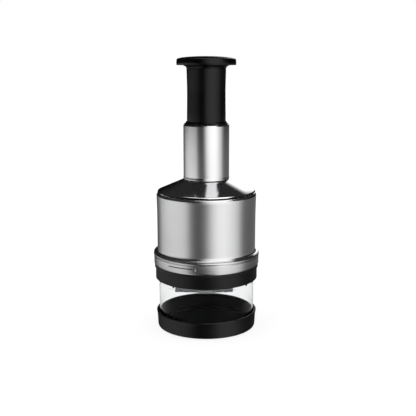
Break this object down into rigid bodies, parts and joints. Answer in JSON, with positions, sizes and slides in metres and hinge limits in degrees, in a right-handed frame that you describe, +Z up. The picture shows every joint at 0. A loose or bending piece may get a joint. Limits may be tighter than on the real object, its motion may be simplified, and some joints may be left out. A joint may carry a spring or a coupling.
{
  "type": "vegetable chopper",
  "caption": "Hand-press vegetable chopper: sprung plunger knob over a steel drum drives a turning zigzag blade down into a clear cup on a black base cap.",
  "frame": {"origin": "on the plunger's axis at the underside of the base cap", "axes": "+Z up along the plunger; -Y is the front, where the lock mark is seen; +X is right"},
  "size_m": [0.0984, 0.0984, 0.25],
  "materials": {
    "black_plastic": "black moulded plastic, fine satin texture",
    "grip_plastic": "black moulded plastic, satin",
    "clear_plastic": "clear moulded plastic, glossy",
    "brushed_steel": "fine brushed round the axis",
    "polished_steel": "polished",
    "blade_steel": "ground, bright cutting edge",
    "spring_steel": "drawn and turned, plain",
    "brass": "turned",
    "white_plastic": "natural acetal",
    "dark_plastic": "moulded, matte",
    "silicone": "matte silicone"
  },
  "bodies": {
    "base": {"base_cap": "black_plastic"},
    "cup": {"clear_cup": "clear_plastic", "cup_seal": "silicone", "cup_collar": "black_plastic"},
    "housing": {"body_shell": "brushed_steel", "shoulder_cone": "polished_steel", "neck_tube": "brushed_steel", "neck_bushing": "black_plastic", "lock_ring": "brushed_steel", "ring_gasket": "silicone", "housing_liner": "dark_plastic", "guide_nut": "brass", "nut_screw_1": "spring_steel", "nut_screw_2": "spring_steel", "nut_screw_3": "spring_steel", "spring_seat": "spring_steel", "return_spring": "spring_steel", "wiper_carrier": "dark_plastic", "wiper_retainer": "dark_plastic"},
    "handle": {"press_cap": "grip_plastic", "grip_stem": "grip_plastic", "cap_screw": "spring_steel", "bearing_cup": "white_plastic", "thrust_washer": "brass"},
    "blade": {"spindle": "spring_steel", "spindle_clip": "spring_steel", "blade_holder": "dark_plastic", "chopping_blade": "blade_steel", "blade_screw": "spring_steel"},
    "wiper": {"wiper_plate": "white_plastic"}
  },
  "joints": [
    {"name": "cup_pull", "type": "slide", "parent": "base", "child": "cup", "axis": [0, 0, 1], "range_m": [0, 0.04]},
    {"name": "housing_twist", "type": "hinge", "parent": "cup", "child": "housing", "pos_m": [0, 0, 0.065], "axis": [0, 0, 1], "range_deg": [0, 30]},
    {"name": "handle_press", "type": "slide", "parent": "housing", "child": "handle", "axis": [0, 0, -1], "range_m": [0, 0.033], "stiffness_N_per_m": 300, "springref_m": -0.02, "deforming": ["return_spring"]},
    {"name": "blade_turn", "type": "hinge", "parent": "handle", "child": "blade", "pos_m": [0, 0, 0.2], "axis": [0, 0, 1], "range_deg": [0, 36.5]},
    {"name": "wiper_turn", "type": "hinge", "parent": "housing", "child": "wiper", "pos_m": [0, 0, 0.05], "axis": [0, 0, 1], "range_deg": [0, 36.5]}
  ],
  "couplings": [
    {"joint": "blade_turn", "follows": "handle_press", "rad_per_m": 19.04},
    {"joint": "wiper_turn", "follows": "handle_press", "rad_per_m": 19.04}
  ]
}
